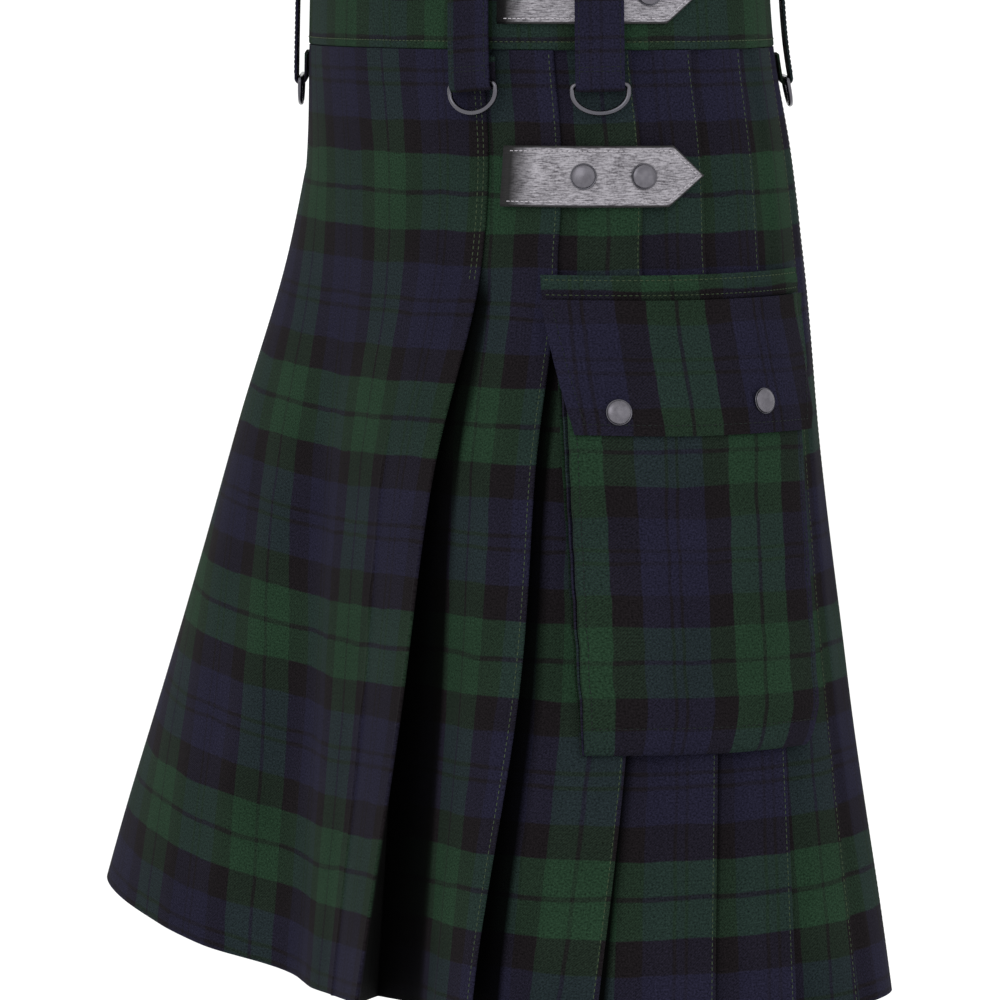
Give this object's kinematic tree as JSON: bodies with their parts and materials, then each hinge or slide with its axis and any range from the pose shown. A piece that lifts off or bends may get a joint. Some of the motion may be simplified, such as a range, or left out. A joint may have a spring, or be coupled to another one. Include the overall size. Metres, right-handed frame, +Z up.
{
  "type": "utility kilt",
  "caption": "Pleated tartan utility kilt, filled out as worn: flat front apron, knife pleats, hip straps, snap-flap cargo pocket and belt loops that hold swinging D-rings.",
  "frame": {"origin": "centre of the waistband's top edge, where the wearer's waist holds the kilt", "axes": "+Z up; the wearer faces -Y and their left is +X"},
  "size_m": [0.6125, 0.3648, 0.6093],
  "materials": {
    "tartan_wool": "matte wool twill in a dark green, blue and black tartan",
    "grey_leather": "silver-grey crackled leather, satin",
    "gunmetal": "gunmetal plating, glossy"
  },
  "bodies": {
    "kilt": {"apron": "tartan_wool", "pleats_left": "tartan_wool", "pleats_right": "tartan_wool", "pleats_back_left": "tartan_wool", "pleats_back_centre": "tartan_wool", "pleats_back_right": "tartan_wool", "waistband": "tartan_wool", "pocket_bag": "tartan_wool", "pocket_flap": "tartan_wool", "pocket_welt": "tartan_wool", "loop_front_left": "tartan_wool", "loop_side_left": "tartan_wool", "loop_back_left": "tartan_wool", "loop_back_centre": "tartan_wool", "loop_back_right": "tartan_wool", "loop_side_right": "tartan_wool", "loop_front_right": "tartan_wool", "strap_upper": "grey_leather", "strap_lower": "grey_leather", "snap_upper": "gunmetal", "snap_lower_front": "gunmetal", "snap_lower_back": "gunmetal", "snap_flap_front": "gunmetal", "snap_flap_back": "gunmetal"},
    "ring_front_left": {"dring_front_left": "gunmetal"},
    "ring_side_left": {"dring_side_left": "gunmetal"},
    "ring_back_left": {"dring_back_left": "gunmetal"},
    "ring_back_centre": {"dring_back_centre": "gunmetal"},
    "ring_back_right": {"dring_back_right": "gunmetal"},
    "ring_side_right": {"dring_side_right": "gunmetal"},
    "ring_front_right": {"dring_front_right": "gunmetal"}
  },
  "joints": [
    {"name": "ring_front_left_swing", "type": "hinge", "parent": "kilt", "child": "ring_front_left", "pos_m": [0.11686, -0.0973, -0.07477], "axis": [-0.8828, -0.4636, -0.0759], "range_deg": [0, 135]},
    {"name": "ring_side_left_swing", "type": "hinge", "parent": "kilt", "child": "ring_side_left", "pos_m": [0.17276, -0.04426, -0.07439], "axis": [-0.4536, -0.891, -0.0222], "range_deg": [0, 135]},
    {"name": "ring_back_left_swing", "type": "hinge", "parent": "kilt", "child": "ring_back_left", "pos_m": [0.10541, 0.11423, -0.07319], "axis": [0.9042, -0.4256, -0.0364], "range_deg": [0, 135]},
    {"name": "ring_back_centre_swing", "type": "hinge", "parent": "kilt", "child": "ring_back_centre", "pos_m": [0, 0.13537, -0.07279], "axis": [1, 0, 0], "range_deg": [0, 135]},
    {"name": "ring_back_right_swing", "type": "hinge", "parent": "kilt", "child": "ring_back_right", "pos_m": [-0.10541, 0.11423, -0.07319], "axis": [0.9042, 0.4256, 0.0364], "range_deg": [0, 135]},
    {"name": "ring_side_right_swing", "type": "hinge", "parent": "kilt", "child": "ring_side_right", "pos_m": [-0.17276, -0.04426, -0.07439], "axis": [-0.4536, 0.891, 0.0222], "range_deg": [0, 135]},
    {"name": "ring_front_right_swing", "type": "hinge", "parent": "kilt", "child": "ring_front_right", "pos_m": [-0.11686, -0.0973, -0.07477], "axis": [-0.8828, 0.4636, 0.0759], "range_deg": [0, 135]}
  ]
}
